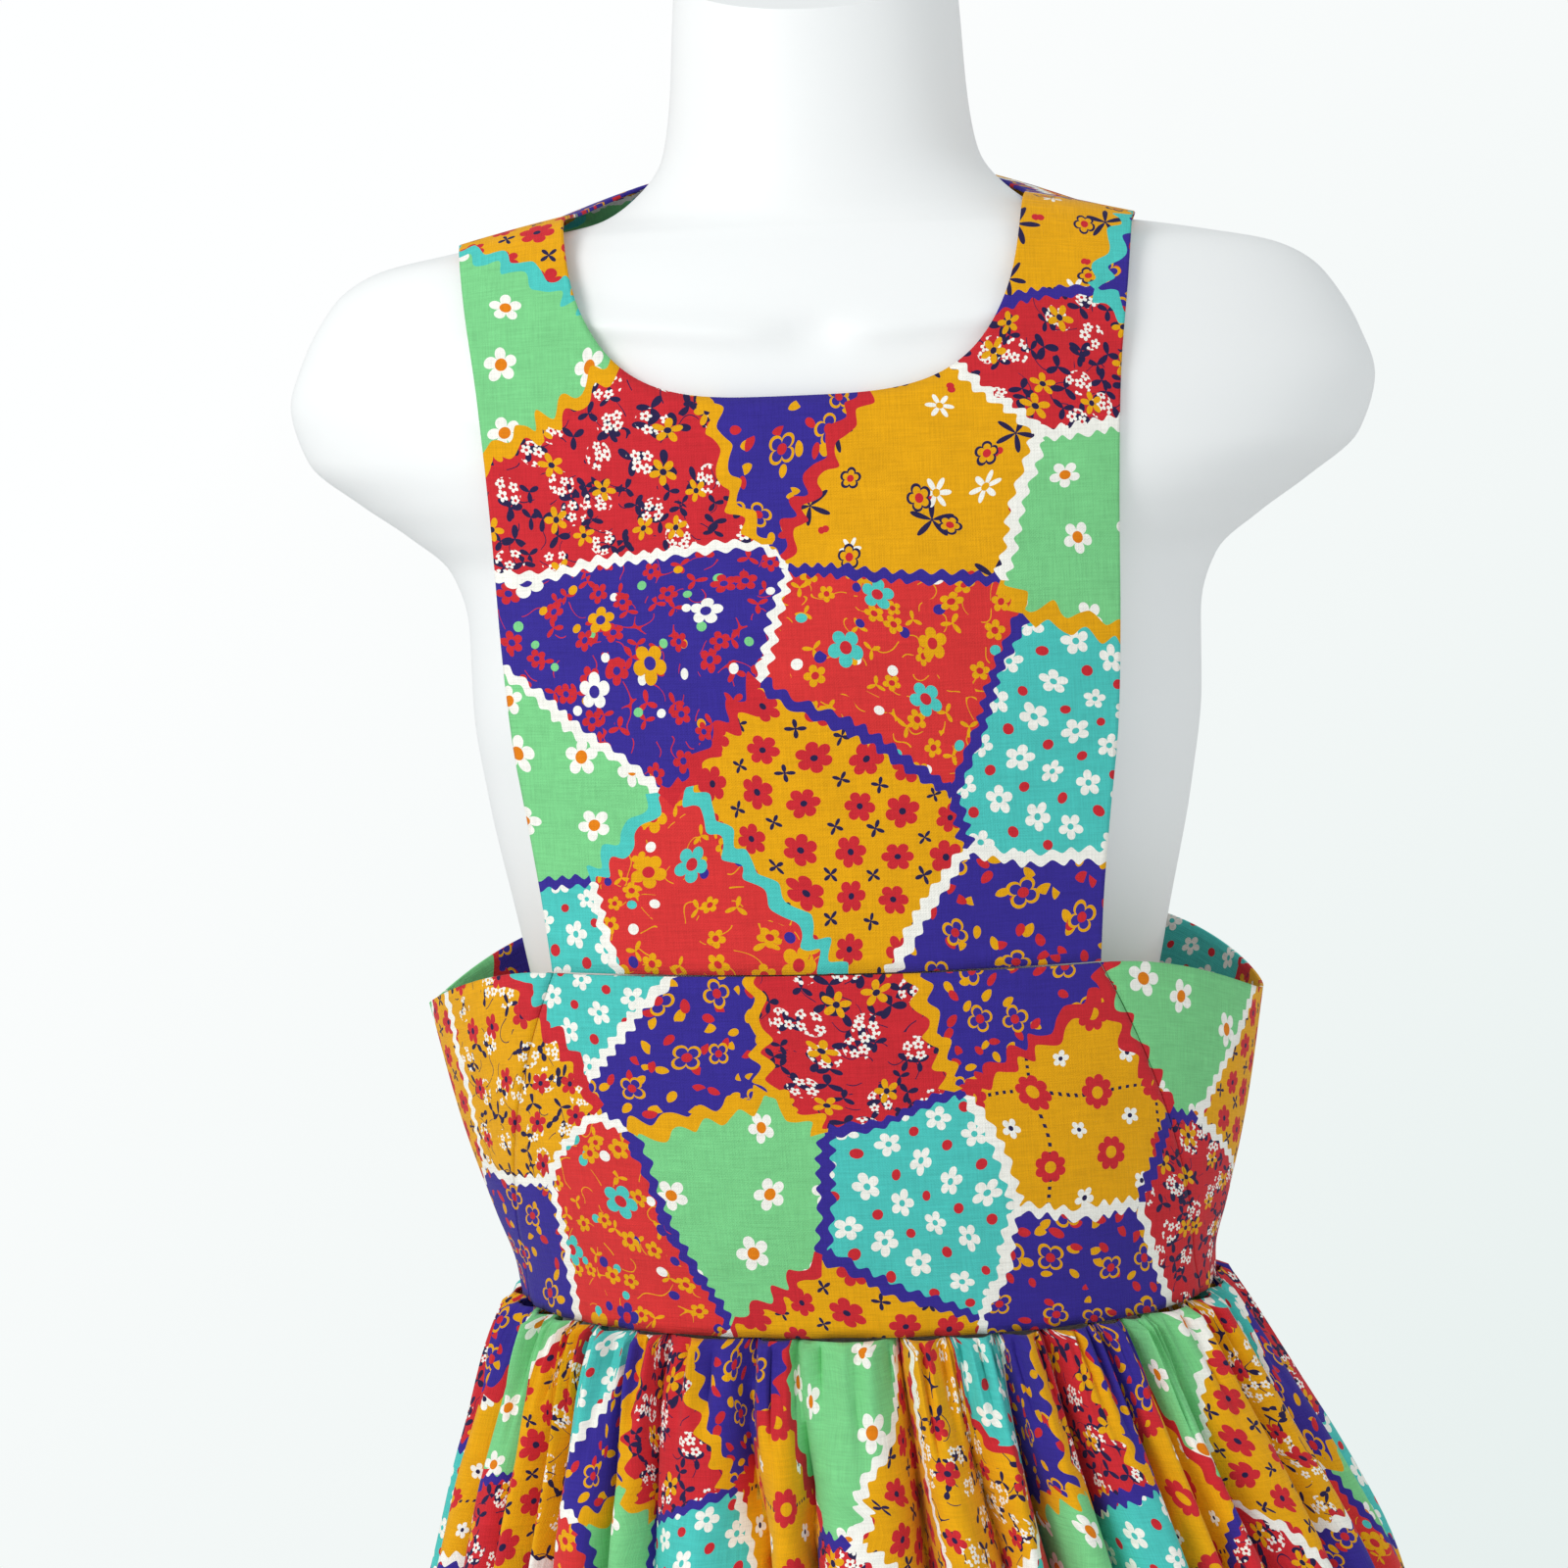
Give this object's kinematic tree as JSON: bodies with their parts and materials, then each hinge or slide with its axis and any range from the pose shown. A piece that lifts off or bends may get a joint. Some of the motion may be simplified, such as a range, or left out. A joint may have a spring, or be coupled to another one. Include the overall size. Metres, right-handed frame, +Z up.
{
  "type": "pinafore dress on a limbless dress form",
  "caption": "Pinafore dress with a bib front, shoulder straps, deep waistband and gathered skirt, on a limbless dress form with a pole stand.",
  "frame": {"origin": "on the floor, at the centre of the stand's round base", "axes": "+Z up, -Y to the front of the dress, +X to the right of someone who looks at its front"},
  "size_m": [0.5488, 0.4938, 1.4685],
  "materials": {
    "print_cotton": "plain-woven print cotton, matte",
    "button_plastic": "polished off-white plastic",
    "form_plastic": "smooth white moulded plastic, softly glossy",
    "stand_metal": "brushed steel"
  },
  "bodies": {
    "root": {"bib_front": "print_cotton", "bib_back_left": "print_cotton", "bib_back_right": "print_cotton", "band_front": "print_cotton", "band_side_left": "print_cotton", "band_side_right": "print_cotton", "band_back_left": "print_cotton", "band_back_right": "print_cotton", "back_placket": "print_cotton", "skirt_front": "print_cotton", "skirt_back": "print_cotton", "button_1": "button_plastic", "button_2": "button_plastic", "button_3": "button_plastic", "button_4": "button_plastic", "button_5": "button_plastic", "torso_form": "form_plastic", "stand_collar": "stand_metal", "stand_pole": "stand_metal", "stand_base": "stand_metal"}
  },
  "joints": []
}
